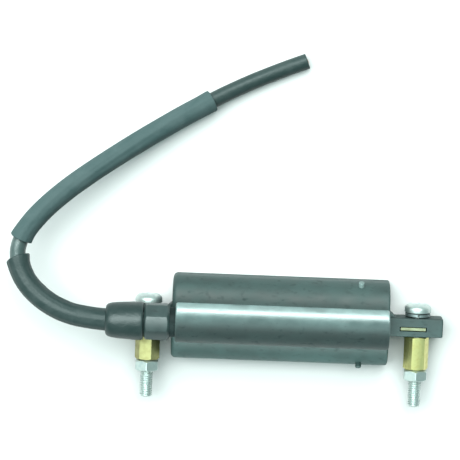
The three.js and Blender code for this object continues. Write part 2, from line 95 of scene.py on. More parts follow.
# tower, neck and fillet
TOWER_Z = 26.0 * MM
TOWER_RADIUS = 8.75 * MM
TOWER_LEFT = -47.6 * MM
TOWER_RIGHT = 46.7 * MM
TOWER_LINE = Vector((0, 0, TOWER_Z))
TOWER_EDGE = 0.9 * MM
FILLET_RADIUS = 1.0 * MM
NECK_RADIUS = 6.5 * MM
NECK_LEFT = -57.8 * MM
NECK_EDGE = 0.5 * MM
TOWER_CAVITY_RADIUS = 6.3 * MM
TOWER_CAVITY_LEFT = -20.0 * MM
TOWER_SLOT_WIDTH = 7.0 * MM
GLOSS_AND_PAINTED_LIGHT_BOTTOM = 20.5 * MM
SOCKET_RADIUS = 3.8 * MM
SOCKET_END = -24.0 * MM
STEM_HOLE_RADIUS = 1.2 * MM

# ears, and the slots in them for the contact plates
BOLT_X = 60.0 * MM
BOLT_Z = 11.5 * MM
EAR_END = 71.2 * MM
EAR_HALF_THICKNESS = 4.25 * MM
EAR_HALF_HEIGHT = 5.25 * MM
EAR_EDGE = 0.8 * MM
GUSSET_REACH = 2.6 * MM
GUSSET_HALF_HEIGHT = 4.05 * MM
BOLT_HOLE_RADIUS = 3.3 * MM
SLOT = {
    "near": 52.0 * MM,
    "far": 64.0 * MM,
    "front": 0.3 * MM,
    "back": -1.75 * MM,
    "bottom": 14.9 * MM,
}
LINK_Y = -0.75 * MM
LINK_Z = 9.0 * MM
LINK_HOLE_RADIUS = 0.8 * MM

# shoulder pegs
PEG_X = 34.3 * MM
PEG_LEAN = math.radians(28)
PEG_RADIUS = 1.3 * MM
PEG_HOLE_RADIUS = 1.36 * MM
PEG_INNER = 10.2 * MM
PEG_OUTER = 14.2 * MM
PEG_RIM = 0.45 * MM

# screws: places along Y, and a thread whose flank rises by a slope beside a flat root. Pairs are
# how far along and how far in, and the recess's are its reach and half width.
THREAD_PITCH = 1.0 * MM
THREAD_DEPTH = 0.55 * MM
THREAD_START = -17.5 * MM
FLANK_SLOPE = 2.6
ROOT_FLAT = 0.28
POINT_SLOPE = 1.1
POINT_RADIUS = 2.0 * MM
POINT_EDGE = 0.1 * MM
SHANK_RADIUS = 2.95 * MM
THREAD_RUN_OUT = [(0.3 * MM, 0.1 * MM), (0.5 * MM, 0.0)]
SEAT_FILLET = 0.3 * MM
HEAD_SEAT = 6.35 * MM
HEAD_RADIUS = 6.0 * MM
HEAD_RIM = [(0.0, 0.35 * MM), (0.1 * MM, 0.12 * MM), (0.35 * MM, 0.0)]
HEAD_SIDE = 1.5 * MM
HEAD_TOP_RADIUS = 0.6 * MM
DOME_FLAT = 0.12
DOME_POWER = 0.85
RECESS_DEPTHS = (2.1 * MM, 2.2 * MM)
RECESS_MOUTH = (3.3 * MM, 0.8 * MM)
RECESS_BOTTOM = (1.5 * MM, 0.5 * MM)

# lock washers, contact plates, spacers and nuts
WASHER_INNER = 3.25 * MM
WASHER_OUTER = 5.6 * MM
WASHER_GAP = math.radians(7)
WASHER_LIFT = 0.2 * MM
WASHER_EDGE = 0.15 * MM
PLATE_EDGE = 0.2 * MM
HEX_FLATS = 10.0 * MM
HEX_CORNER_EDGE = 0.1 * MM
HEX_FACE_EDGE = 0.05 * MM
HEX_CHAMFER_SLOPE = 1.6
COUNTERSINK = 0.4 * MM
NUT_BORE = 3.0 * MM
NUT_CHAMFER = 0.75 * MM
NUT_TURN = math.radians(30)
SPACER_BORE = 3.2 * MM
SPACER_CHAMFER = 0.5 * MM
SPACER_FLATNESS = 0.8
SPACER_TURN = {"left": math.radians(-9), "right": math.radians(8)}

# gland nut
GLAND_FLATS = 15.9 * MM
GLAND_FLATNESS = 0.6
GLAND_CORNER_RADIUS = 8.45 * MM
GLAND_CHAMFER = 1.3 * MM
GLAND_FACE_EDGE = 0.15 * MM
GLAND_WALL = 1.3 * MM
GLAND_MOUTH_RADIUS = 5.2 * MM
GLAND_BORE = 6.8 * MM

# boot: (millimetres from its nose, radius) rows up to its middle, then the same from its mouth
BOOT_NOSE = [
    (0.3, 5.05), (0, 5.35), (0.03, 6.0), (0.35, 6.6), (0.9, 7.1),
    (1.7, 7.45), (2.8, 7.72), (4.5, 7.95), (8.0, 8.2), (11.5, 8.38),
]
BOOT_MOUTH = [(2.2, 8.5), (1.1, 8.45), (0.5, 8.3), (0.12, 8.05), (0, 7.8), (0, 5.0)]
BOOT_BORE = (2.5, 5.0)

# lead
LEAD_RADIUS = 3.5 * MM
LEAD_BORE_RADIUS = 1.5 * MM
LEAD_STEP = 1.5 * MM
CONDUCTOR_RADIUS = 0.8 * MM
STRAND_LENGTH = 14.0 * MM
STRAND_LAY = 16.0 * MM
STRAND_SPREAD = 1.02
JACKET_SETBACK = 0.2 * MM
JACKET_RIM = 0.3 * MM
PALE_JACKET_HEIGHT = 15.0 * MM  # above it the lead's jacket is paler and glossier
NOSE_X = -78.4 * MM
LEAD_INNER_X = -30.0 * MM

# Sleeves: start and end are distances along the lead from the boot's nose. At each of those two,
# flare is how much wider the sleeve is, and slant how much further its top and left side reach.
LOWER_SLEEVE = {
    "start": -1.5 * MM,
    "end": 51.8 * MM,
    "radius": 4.9 * MM,
    "flare": (0.0, 0.4 * MM),
    "slant": ((0.0, 0.0), (0.5 * MM, -1.6 * MM)),
    "wrinkle": 0.16 * MM,
}
UPPER_SLEEVE = {
    "start": 60.2 * MM,
    "end": 165.5 * MM,
    "radius": 4.75 * MM,
    "flare": (0.35 * MM, 0.15 * MM),
    "slant": ((-0.9 * MM, 0.3 * MM), (0.5 * MM, 0.0)),
    "wrinkle": 0.12 * MM,
}
SLEEVE_BORE_RADIUS = 4.1 * MM
SLEEVE_STEP = 0.65 * MM
SLEEVE_LIP = 0.25 * MM
SLEEVE_LUMPS = 0.15 * MM
LUMPS_ROUND = 3.2
LUMPS_ALONG = 30  # to a metre, as are the next two
WRINKLES_ALONG = 260
JACKET_LUMPS_ALONG = 60
JACKET_LUMPS = 0.07 * MM
FLARE_REACH = 3.5 * MM
FLARE_REACH_INSIDE = 2.0 * MM
SLANT_REACH = 12.0 * MM
SHARP_BEND = 40.0  # to a metre: a sleeve's wrinkles are full where the bend's radius is 25 mm

# The lead's centreline in millimetres: straight through the tower and the gland, then outside it.
LEAD_INSIDE = [(LEAD_INNER_X / MM, 0, 26), (-45, 0, 26), (-62, 0, 26)]
LEAD_ROUTE = [
    (-78.4, 0.0, 26.0),
    (-86.0, 0.7, 25.9),
    (-93.5, 2.0, 25.7),
    (-101.0, 4.8, 25.3),
    (-108.1, 9.3, 24.6),
    (-113.7, 15.1, 23.9),
    (-117.2, 21.8, 23.2),
    (-118.3, 27.4, 22.5),
    (-117.7, 31.8, 22.0),
    (-115.9, 36.2, 21.4),
    (-112.2, 41.6, 20.4),
    (-106.2, 48.3, 19.1),
    (-98.4, 55.3, 17.5),
    (-89.2, 62.4, 15.6),
    (-78.7, 69.8, 13.5),
    (-68.7, 76.5, 11.7),
    (-58.5, 83.0, 9.8),
    (-48.2, 89.3, 8.1),
    (-39.8, 94.1, 6.9),
    (-33.4, 97.8, 6.1),
    (-27.0, 101.2, 5.4),
    (-18.4, 105.4, 4.6),
    (-9.8, 109.2, 4.1),
    (-1.2, 112.8, 3.7),
    (6.7, 115.9, 3.6),
]


def object_of(name, data):
    made = bpy.data.objects.new(name, data)
    bpy.context.scene.collection.objects.link(made)
    return made


# ---- camera ----

def make_camera():
    back = Vector((0, math.sin(VIEW_LEAN), math.cos(VIEW_LEAN)))
    level = Vector((0, math.cos(VIEW_LEAN), -math.sin(VIEW_LEAN)))
    right = ALONG_X * math.cos(VIEW_ROLL) + level * math.sin(VIEW_ROLL)
    up = back.cross(right)
    data = bpy.data.cameras.new("camera")
    data.sensor_width = SENSOR_WIDTH
    data.lens = SENSOR_WIDTH * VIEW_DISTANCE / VIEW_WIDTH
    turn = Matrix((right, up, back)).transposed().to_4x4()
    camera = object_of("camera", data)
    camera.matrix_world = Matrix.Translation(VIEW_CENTRE + back * VIEW_DISTANCE) @ turn
    bpy.context.scene.camera = camera


make_camera()


# ---- meshes ----

def ring_faces(first, second, count):
    """The quads between two rings of the same number of points."""
    return [
        (first + i, first + (i + 1) % count, second + (i + 1) % count, second + i)
        for i in range(count)
    ]


def loft(name, rings, closed=False):
    """A closed surface through rings of points: capped at both ends, or joined last to first."""
    count = len(rings[0])
    points = [point for ring in rings for point in ring]
    faces = []
    for i in range(len(rings) - 1):
        faces += ring_faces(i * count, (i + 1) * count, count)
    if closed:
        faces += ring_faces((len(rings) - 1) * count, 0, count)
    else:
        faces.append(tuple(reversed(range(count))))
        faces.append(tuple(range(len(points) - count, len(points))))
    mesh = bpy.data.meshes.new(name)
    mesh.from_pydata([tuple(p) for p in points], [], faces)
    mesh.validate()
    turn_outwards(mesh)
    return object_of(name, mesh)


def turn_outwards(mesh):
    """Turns the faces outwards if they all face in."""
    mesh.update()
    volume = 0.0
    for face in mesh.polygons:
        corners = [mesh.vertices[i].co for i in face.vertices]
        for second, third in zip(corners[1:], corners[2:]):
            volume += corners[0].dot(second.cross(third))
    if volume < 0:
        mesh.flip_normals()


def combined(target, tool, operation):
    """target with the tool joined to it, cut from it or kept in common. The tool is used up."""
    modifier = target.modifiers.new("combine", "BOOLEAN")
    modifier.operation = operation
    modifier.solver = "EXACT"
    modifier.object = tool
    graph = bpy.context.evaluated_depsgraph_get()
    mesh = bpy.data.meshes.new_from_object(target.evaluated_get(graph))
    target.modifiers.clear()
    target.data = mesh
    bpy.data.objects.remove(tool)


def smooth(piece, angle=35):
    """Smooth shading up to an angle between faces, with flat faces kept flat."""
    piece.data.shade_smooth()
    piece.data.set_sharp_from_angle(angle=math.radians(angle))
    modifier = piece.modifiers.new("weighted", "WEIGHTED_NORMAL")
    modifier.keep_sharp = True
    return piece


def turned_rings(rows, centre, axis, start, segments):
    """Rings about an axis from (along, radius) rows. A radius may be a function of the angle."""
    side = axis.cross(start)
    rings = []
    for along, radius in rows:
        ring = []
        for i in range(segments):
            angle = 2 * math.pi * i / segments
            size = radius(angle) if callable(radius) else radius
            spoke = start * math.cos(angle) + side * math.sin(angle)
            ring.append(centre + axis * along + spoke * size)
        rings.append(ring)
    return rings


def turned_x(name, rows, centre, segments=64, closed=False):
    return loft(name, turned_rings(rows, centre, ALONG_X, ALONG_Y, segments), closed)


def turned_y(name, rows, centre, segments=64, closed=False):
    return loft(name, turned_rings(rows, centre, ALONG_Y, UP, segments), closed)


def arc(centre, radius, start, end, steps):
    """Points on an arc in a plane, angles in degrees."""
    points = []
    for i in range(steps + 1):
        angle = math.radians(start + (end - start) * i / steps)
        points.append((centre[0] + radius * math.cos(angle), centre[1] + radius * math.sin(angle)))
    return points


def pushed_x(name, outline, ends, edges, steps=5):
    """An outline function of its inset, pushed along X and rounded at each end by an edge."""
    left, right = ends
    left_edge, right_edge = edges
    rounding = []
    for i in range(steps + 1):
        angle = math.pi / 2 * i / steps
        rounding.append((1 - math.cos(angle), 1 - math.sin(angle)))
    rings = [(left + left_edge * along, left_edge * inset) for along, inset in rounding]
    rings += [(right - right_edge * along, right_edge * inset) for along, inset in reversed(rounding)]
    return loft(name, [[Vector((x, y, z)) for y, z in outline(inset)] for x, inset in rings])


def bevelled(low, high, edge):
    """A rectangle from its lowest corner to its highest, with its corners cut off by an edge."""
    left, bottom = low
    right, top = high
    return [
        (left + edge, bottom), (right - edge, bottom), (right, bottom + edge), (right, top - edge),
        (right - edge, top), (left + edge, top), (left, top - edge), (left, bottom + edge),
    ]


def block(name, low, high):
    """A box-shaped cutting tool."""
    corners = [(low[1], low[2]), (high[1], low[2]), (high[1], high[2]), (low[1], high[2])]
    rings = [[Vector((x, y, z)) for y, z in corners] for x in (low[0], high[0])]
    return loft(name, rings)


def rod_x(name, radius, ends, height, y=0.0, segments=24):
    """A round cutting tool along X."""
    rows = [(end, radius) for end in ends]
    return turned_x(name, rows, Vector((0, y, height)), segments)


# ---- node materials ----

class Look:
    """A material's node graph, with short ways to add what the materials here are made of."""

    def __init__(self, name, metallic=0.0, specular=0.5):
        self.material = bpy.data.materials.new(name)
        self.material.use_nodes = True
        self.tree = self.material.node_tree
        self.shader = self.tree.nodes["Principled BSDF"]
        self.shader.inputs["Metallic"].default_value = metallic
        self.shader.inputs["Specular IOR Level"].default_value = specular
        self.place = self.add("ShaderNodeTexCoord").outputs["Object"]

    def add(self, kind, **settings):
        node = self.tree.nodes.new(kind)
        for key, value in settings.items():
            setattr(node, key, value)
        return node

    def feed(self, socket, value):
        if isinstance(value, bpy.types.NodeSocket):
            self.tree.links.new(value, socket)
        else:
            socket.default_value = value

    def grain(self, scale, detail=3.0, stretch=(1, 1, 1), distortion=0.0):
        """Noise with about that many lumps to a metre, drawn out along an axis by a stretch below 1."""
        mapping = self.add("ShaderNodeMapping")
        mapping.inputs["Scale"].default_value = stretch
        self.feed(mapping.inputs["Vector"], self.place)
        texture = self.add("ShaderNodeTexNoise")
        texture.inputs["Scale"].default_value = scale
        texture.inputs["Detail"].default_value = detail
        texture.inputs["Distortion"].default_value = distortion
        self.feed(texture.inputs["Vector"], mapping.outputs["Vector"])
        return texture.outputs["Fac"]

    def bands(self, scale, direction, distortion=0.0):
        """Even bands across an axis, that many of them to about a third of a metre."""
        texture = self.add("ShaderNodeTexWave", bands_direction=direction)
        texture.inputs["Scale"].default_value = scale
        texture.inputs["Distortion"].default_value = distortion
        self.feed(texture.inputs["Vector"], self.place)
        return texture.outputs["Fac"]

    def ranged(self, value, low, high, out_low=0.0, out_high=1.0):
        """value mapped from one range to another, and held within it."""
        node = self.add("ShaderNodeMapRange")
        self.feed(node.inputs["Value"], value)
        node.inputs["From Min"].default_value = low
        node.inputs["From Max"].default_value = high
        node.inputs["To Min"].default_value = out_low
        node.inputs["To Max"].default_value = out_high
        return node.outputs["Result"]

    def facing_front(self, elsewhere, front):
        """One value for faces turned to the screw heads, +Y, and another elsewhere."""
        geometry = self.add("ShaderNodeNewGeometry")
        parts = self.add("ShaderNodeSeparateXYZ")
        self.feed(parts.inputs["Vector"], geometry.outputs["Normal"])
        return self.ranged(parts.outputs["Y"], 0.1, 0.45, elsewhere, front)

    def worn(self, size):
        """1 along edges, out to about that size from them, and 0 on faces."""
        bevel = self.add("ShaderNodeBevel", samples=6)
        bevel.inputs["Radius"].default_value = size
        geometry = self.add("ShaderNodeNewGeometry")
        product = self.add("ShaderNodeVectorMath", operation="DOT_PRODUCT")
        self.feed(product.inputs[0], bevel.outputs["Normal"])
        self.feed(product.inputs[1], geometry.outputs["Normal"])
        return self.ranged(product.outputs["Value"], 0.98, 0.8)

    def mixed(self, share, first, second):
        node = self.add("ShaderNodeMix", data_type="RGBA")
        self.feed(node.inputs["Factor"], share)
        for socket, value in ((node.inputs["A"], first), (node.inputs["B"], second)):
            self.feed(socket, value if isinstance(value, bpy.types.NodeSocket) else (*value, 1))
        return node.outputs["Result"]

    def sum(self, *terms):
        """The sum of weighted values, each term a (value, weight) pair."""
        total = 0.0
        for value, weight in terms:
            node = self.add("ShaderNodeMath", operation="MULTIPLY_ADD")
            self.feed(node.inputs[0], value)
            node.inputs[1].default_value = weight
            self.feed(node.inputs[2], total)
            total = node.outputs[0]
        return total

    def finished(self, colour, roughness, bump=None, depth=0.0, soften=0.0):
        """Connects colour, roughness and a bump of a depth. soften rounds how edges catch light."""
        self.feed(self.shader.inputs["Base Color"], colour)
        self.feed(self.shader.inputs["Roughness"], roughness)
        if bump is not None:
            node = self.add("ShaderNodeBump")
            node.inputs["Strength"].default_value = 1.0
            node.inputs["Distance"].default_value = depth
            self.feed(node.inputs["Height"], bump)
            if soften:
                bevel = self.add("ShaderNodeBevel", samples=4)
                bevel.inputs["Radius"].default_value = soften
                self.feed(node.inputs["Normal"], bevel.outputs["Normal"])
            self.feed(self.shader.inputs["Normal"], node.outputs["Normal"])
        return self.material


def shade(colour, factor, lift=0.0):
    """A darker or paler shade of a colour."""
    return tuple(min(1, part * factor + lift) for part in colour)


def moulded(name, colour, roughness, specular, front_roughness=None):
    """Black moulded plastic: fine grain, flow marks, dull handled patches, specks and paler edges."""
    look = Look(name, specular=specular)
    flow = look.grain(60, detail=4, stretch=(0.35, 1, 1), distortion=0.6)
    fine = look.grain(2600, detail=2)
    patches = look.grain(160, detail=5)
    mottle = look.sum((flow, 0.5), (patches, 0.5))
    base = look.mixed(look.ranged(mottle, 0.36, 0.64), shade(colour, 0.74), shade(colour, 1.28))
    specks = look.ranged(look.grain(520, stretch=(0.6, 1, 1)), 0.58, 0.8)
    base = look.mixed(specks, base, shade(colour, 0.6))
    base = look.mixed(look.sum((look.worn(0.5 * MM), 0.55)), base, shade(colour, 1.9, 0.01))
    shine = roughness if front_roughness is None else look.facing_front(roughness, front_roughness)
    dull = look.ranged(patches, 0.3, 0.7, -1, 1)
    rough = look.sum((shine, 1.0), (dull, 0.06), (fine, 0.04), (specks, 0.2))
    bump = look.sum((fine, 0.6), (patches, 0.4), (specks, -0.3))
    return look.finished(base, rough, bump, depth=0.05 * MM, soften=0.25 * MM)


def rubbery(name, colour, roughness, dust, specular):
    """Black rubber or soft plastic, lumpy, with a dusty bloom in patches."""
    look = Look(name, specular=specular)
    patches = look.grain(110, detail=5, distortion=0.8)
    lumps = look.grain(480, detail=4, distortion=0.4)
    fine = look.grain(1800)
    base = look.mixed(look.ranged(patches, 0.38, 0.68), colour, shade(colour, 1, dust))
    rough = look.sum((roughness, 1.0), (look.ranged(patches, 0.3, 0.7, -1, 1), 0.07), (fine, 0.06))
    bump = look.sum((fine, 0.25), (lumps, 0.75))
    return look.finished(base, rough, bump, depth=0.22 * MM)


def metal(name, colour, roughness, stretch, dull):
    """Plated or turned metal: streaks drawn out by a stretch, dull spots and bright edges."""
    look = Look(name, metallic=1.0)
    streaks = look.grain(1500, stretch=stretch)
    spots = look.grain(420, detail=5)
    base = look.mixed(look.ranged(spots, 0.45, 0.75), colour, dull)
    base = look.mixed(look.sum((look.worn(0.25 * MM), 0.6)), base, shade(colour, 1.15))
    rough = look.sum((roughness, 1.0), (streaks, 0.16), (look.ranged(spots, 0.4, 0.8), 0.12))
    return look.finished(base, rough, streaks, depth=0.02 * MM, soften=0.12 * MM)


def wound(name, colour, gap_colour):
    """Enamelled wire wound side by side across X."""
    look = Look(name, metallic=1.0)
    turns = look.bands(500, "X", distortion=0.3)
    base = look.mixed(turns, gap_colour, colour)
    rough = look.sum((turns, -0.1), (look.grain(900), 0.2), (0.35, 1.0))
    return look.finished(base, rough, turns, depth=0.15 * MM)


def laminated(name, colour, gap_colour):
    """Stacked steel sheets with a dark line between them."""
    look = Look(name, metallic=1.0)
    sheets = look.bands(450, "Z")
    base = look.mixed(look.ranged(sheets, 0.05, 0.3), gap_colour, colour)
    rough = look.sum((look.grain(500), 0.25), (0.35, 1.0))
    return look.finished(base, rough, sheets, depth=0.08 * MM)


def speckled(name, colour, other, roughness, scale):
    """Cast or pressed stuff, mottled in two colours, such as resin, nylon and varnished paper."""
    look = Look(name)
    mottle = look.grain(scale, detail=5, distortion=0.4)
    base = look.mixed(look.ranged(mottle, 0.35, 0.7), colour, other)
    rough = look.sum((mottle, 0.15), (roughness, 1.0))
    return look.finished(base, rough, mottle, depth=0.06 * MM)


HOUSING_PLASTIC = moulded("housing_plastic", (0.022, 0.044, 0.042), roughness=0.55, specular=0.4)
# Painted light: the tower is a paler copy of the housing plastic, which lifts its shaded underside; it
# is also glossier on its side towards the screw heads.
TOWER_PLASTIC_PAINTED_LIGHT = moulded(
    "tower_plastic_painted_light", (0.044, 0.067, 0.066), roughness=0.6, specular=0.8, front_roughness=0.38
)
GLAND_PLASTIC = moulded("gland_plastic", (0.02, 0.038, 0.037), roughness=0.44, specular=1.0)
# Painted shade: a darker copy of the housing plastic on the ears, whose flat tops face the light.
EAR_PAINTED_SHADE = moulded("ear_painted_shade", (0.014, 0.031, 0.03), roughness=0.55, specular=0.35)
# Painted shade: a near-black copy of the housing plastic on the neck, for the shadow between the gland
# and the tower.
NECK_PAINTED_SHADE = moulded("neck_painted_shade", (0.006, 0.012, 0.012), roughness=0.6, specular=0.1)
# Painted highlight: a pale copy of the housing plastic on the front peg only; the rear peg, the same
# part, has the housing plastic.
PEG_PAINTED_HIGHLIGHT = moulded("peg_painted_highlight", (0.11, 0.15, 0.147), roughness=0.6, specular=0.2)
BOOT_RUBBER = rubbery("boot_rubber", (0.015, 0.03, 0.029), roughness=0.4, dust=0.01, specular=0.55)
LOWER_SLEEVE_RUBBER = rubbery(
    "lower_sleeve_rubber", (0.02, 0.037, 0.036), roughness=0.48, dust=0.015, specular=0.42
)
UPPER_SLEEVE_RUBBER = rubbery(
    "upper_sleeve_rubber", (0.042, 0.073, 0.074), roughness=0.68, dust=0.02, specular=0.35
)
CABLE_JACKET = rubbery("cable_jacket", (0.02, 0.036, 0.035), roughness=0.46, dust=0.012, specular=0.35)
PALE_JACKET = rubbery(
    "pale_jacket", (0.045, 0.071, 0.069), roughness=0.36, dust=0.03, specular=0.8
)
BRASS = metal("turned_brass", (0.72, 0.67, 0.29), 0.34, stretch=(1, 0.05, 1), dull=(0.56, 0.5, 0.2))
# Painted shade: a darker copy of the turned brass, for the left spacer only.
BRASS_PAINTED_SHADE = metal("brass_painted_shade", (0.42, 0.39, 0.18), 0.36, stretch=(1, 0.05, 1), dull=(0.34, 0.3, 0.13))
PLATE_BRASS = metal("sheet_brass", (0.38, 0.4, 0.26), 0.42, stretch=(0.1, 1, 1), dull=(0.28, 0.29, 0.18))
ZINC = metal("zinc_plate", (0.65, 0.7, 0.675), 0.4, stretch=(1, 0.1, 1), dull=(0.5, 0.57, 0.57))
SPRING_STEEL = metal(
    "spring_steel", (0.3, 0.35, 0.35), 0.45, stretch=(1, 0.1, 1), dull=(0.2, 0.24, 0.24)
)
COPPER = wound("copper_winding", (0.7, 0.34, 0.2), (0.18, 0.08, 0.05))
BARE_COPPER = metal("bare_copper", (0.8, 0.42, 0.28), 0.3, stretch=(0.1, 1, 1), dull=(0.5, 0.24, 0.16))
CORE_STEEL = laminated("core_steel", (0.32, 0.33, 0.34), (0.05, 0.05, 0.05))
RESIN = speckled("potting_resin", (0.02, 0.024, 0.024), (0.035, 0.04, 0.04), roughness=0.3, scale=180)
NYLON = speckled("bobbin_nylon", (0.7, 0.68, 0.6), (0.6, 0.57, 0.48), roughness=0.45, scale=260)
PAPER = speckled("varnished_paper", (0.5, 0.38, 0.2), (0.4, 0.29, 0.14), roughness=0.6, scale=700)


def painted(piece, material):
    piece.data.materials.clear()
    piece.data.materials.append(material)


def repainted(piece, material, test):
    """Gives a further material to the faces whose middle passes a test."""
    piece.data.materials.append(material)
    for face in piece.data.polygons:
        if test(face.center):
            face.material_index = len(piece.data.materials) - 1


def placed(piece, material, slot, body, *nodes):
    """Gives a piece its material and its body, and hides the CAD nodes it stands for. slot is not used.
    """
    painted(piece, material)
    if nodes:
        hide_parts(*nodes)
    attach(piece, body)
    return piece


# ---- lead ----

def between(first, second, start, end, t):
    """The point at t on a straight path that passes first at start and second at end."""
    return first.lerp(second, (t - start) / (end - start))


def curve_points(points, steps=24):
    """A centripetal Catmull-Rom curve through points, as a fine list of points."""
    ends = [points[0] * 2 - points[1], *points, points[-1] * 2 - points[-2]]
    fine = []
    for p0, p1, p2, p3 in zip(ends, ends[1:], ends[2:], ends[3:]):
        t0 = 0.0
        t1 = t0 + math.sqrt((p1 - p0).length)
        t2 = t1 + math.sqrt((p2 - p1).length)
        t3 = t2 + math.sqrt((p3 - p2).length)
        for i in range(steps):
            t = t1 + (t2 - t1) * i / steps
            a1 = between(p0, p1, t0, t1, t)
            a2 = between(p1, p2, t1, t2, t)
            a3 = between(p2, p3, t2, t3, t)
            b1 = between(a1, a2, t0, t2, t)
            b2 = between(a2, a3, t1, t3, t)
            fine.append(between(b1, b2, t1, t2, t))
    return fine + [points[-1]]


class Route:
    """The lead's line with a frame carried along it. Distances are from the boot's nose."""

    def __init__(self, points):
        self.points = curve_points(points)
        self.distances = [0.0]
        for first, second in zip(self.points, self.points[1:]):
            self.distances.append(self.distances[-1] + (second - first).length)
        nose = next(d for p, d in zip(self.points, self.distances) if p.x <= NOSE_X)
        self.distances = [d - nose for d in self.distances]
        self.sides = []
        side = UP.copy()
        for i in range(len(self.points)):
            forward = self.forward(i)
            side = (side - forward * side.dot(forward)).normalized()
            self.sides.append(side)

    def forward(self, i):
        before = self.points[max(i - 1, 0)]
        after = self.points[min(i + 1, len(self.points) - 1)]
        return (after - before).normalized()

    def at(self, distance):
        """Point, forward direction and upward side at a distance."""
        i = bisect.bisect_right(self.distances, distance) - 1
        i = max(0, min(i, len(self.distances) - 2))
        share = (distance - self.distances[i]) / (self.distances[i + 1] - self.distances[i])
        point = self.points[i].lerp(self.points[i + 1], share)
        forward = self.forward(i).lerp(self.forward(i + 1), share).normalized()
        side = self.sides[i].lerp(self.sides[i + 1], share)
        return point, forward, (side - forward * side.dot(forward)).normalized()

    def bend(self, distance, reach=6 * MM):
        """The curvature there, one over the bend's radius in metres, as a vector into the bend."""
        before = self.at(distance - reach)[1]
        after = self.at(distance + reach)[1]
        return (after - before) / (2 * reach)

    def ring(self, distance, radius, segments, slant=(0.0, 0.0)):
        """Points round the lead. slant is how much further along its top and its left side are."""
        ring = []
        for i in range(segments):
            angle = 2 * math.pi * i / segments
            there = distance + slant[0] * math.cos(angle) - slant[1] * math.sin(angle)
            point, forward, up = self.at(there)
            spoke = up * math.cos(angle) + forward.cross(up) * math.sin(angle)
            size = radius(there, spoke) if callable(radius) else radius
            ring.append(point + spoke * size)
        return ring


ROUTE = Route([Vector(point) * MM for point in LEAD_INSIDE + LEAD_ROUTE])
LEAD_START = ROUTE.distances[0]
LEAD_END = ROUTE.distances[-1]


def steps_between(start, end, step):
    """Even distances from start to end, about a step apart."""
    count = max(1, round((end - start) / step))
    return [start + (end - start) * i / count for i in range(count + 1)]


def sleeve_radius(sleeve):
    """The outer radius of a sleeve: lumpy, wrinkled on the inside of a bend and flared at its ends."""
    def radius(distance, spoke):
        inner_side = min(1.0, max(0.0, ROUTE.bend(distance).dot(spoke)) / SHARP_BEND)
        ripple = noise.noise(Vector((distance * WRINKLES_ALONG, 3.7, 0))) * sleeve["wrinkle"]
        lumps = noise.noise(spoke * LUMPS_ROUND + ALONG_X * distance * LUMPS_ALONG) * SLEEVE_LUMPS
        flared = 0.0
        for end, flare in zip((sleeve["start"], sleeve["end"]), sleeve["flare"]):
            flared += flare * math.exp(-((distance - end) / FLARE_REACH) ** 2)
        return sleeve["radius"] + ripple * inner_side + lumps + flared
    return radius


def sleeve_piece(node, sleeve, material, slot):
    """A loose sleeve, cut a little out of square at both ends, with a softened lip."""
    outside = sleeve_radius(sleeve)
    start, end = sleeve["start"], sleeve["end"]
    widest = max(sleeve["flare"])

    def slant(distance):
        near_start = max(0.0, 1 - (distance - start) / SLANT_REACH)
        near_end = max(0.0, 1 - (end - distance) / SLANT_REACH)
        return tuple(a * near_start + b * near_end for a, b in zip(*sleeve["slant"]))

    def bore(distance, _):
        inwards = max(0.0, min(distance - start, end - distance))
        return SLEEVE_BORE_RADIUS + widest * math.exp(-inwards / FLARE_REACH_INSIDE)

    def edge(distance, spoke):
        return outside(distance, spoke) - SLEEVE_LIP

    def ring(distance, radius):
        return ROUTE.ring(distance, radius, segments=72, slant=slant(distance))

    skin = steps_between(start + SLEEVE_LIP, end - SLEEVE_LIP, SLEEVE_STEP)
    rings = [ring(start, edge), *(ring(d, outside) for d in skin), ring(end, edge)]
    rings += [ring(d, bore) for d in reversed(steps_between(start, end, 3 * MM))]
    return placed(loft(f"{node}_skin", rings, closed=True), material, slot, BODY, node)


def jacket():
    """The cable's jacket, open at its cut end round the conductor."""
    def outside(distance, spoke):
        place = Vector((distance * JACKET_LUMPS_ALONG, spoke.x, spoke.y))
        return LEAD_RADIUS + noise.noise(place) * JACKET_LUMPS

    def ring(distance, radius):
        return ROUTE.ring(distance, radius, segments=40)

    face = LEAD_END - JACKET_SETBACK
    rings = [ring(LEAD_START, LEAD_RADIUS)]
    skin = steps_between(LEAD_START + JACKET_RIM, LEAD_END - 2 * JACKET_RIM, LEAD_STEP)
    rings += [ring(d, outside) for d in skin]
    rings.append(ring(LEAD_END - JACKET_RIM, LEAD_RADIUS - JACKET_RIM / 5))
    rings += [ring(face, LEAD_RADIUS - JACKET_RIM), ring(face, LEAD_BORE_RADIUS)]
    bore = reversed(steps_between(LEAD_START, LEAD_END - 2 * MM, 6 * MM))
    rings += [ring(d, LEAD_BORE_RADIUS) for d in bore]
    piece = loft("lead_jacket", rings, closed=True)
    return placed(piece, CABLE_JACKET, "cable", BODY, "lead_insulation")


def strand(number):
    """One of the conductor's strands at the cut end: six twisted round a seventh in the middle."""
    radius = CONDUCTOR_RADIUS / 3
    away = 0.0 if number == 6 else 2 * radius * STRAND_SPREAD
    rings = []
    for distance in steps_between(LEAD_END - STRAND_LENGTH, LEAD_END - 0.5 * MM, 0.8 * MM):
        point, forward, up = ROUTE.at(distance)
        across = forward.cross(up)
        lay = 2 * math.pi * (number / 6 + distance / STRAND_LAY)
        centre = point + (up * math.cos(lay) + across * math.sin(lay)) * away
        angles = [2 * math.pi * i / 12 for i in range(12)]
        rings.append([centre + (up * math.cos(a) + across * math.sin(a)) * radius for a in angles])
    return placed(loft(f"lead_strand_{number + 1}", rings), BARE_COPPER, "copper", BODY)


lead = jacket()
repainted(lead, PALE_JACKET, lambda place: place.z > PALE_JACKET_HEIGHT)
lower_sleeve = sleeve_piece("lower_sleeve", LOWER_SLEEVE, LOWER_SLEEVE_RUBBER, "sleeve_glossy")
upper_sleeve = sleeve_piece("upper_sleeve", UPPER_SLEEVE, UPPER_SLEEVE_RUBBER, "sleeve_matte")


# ---- boot and gland ----

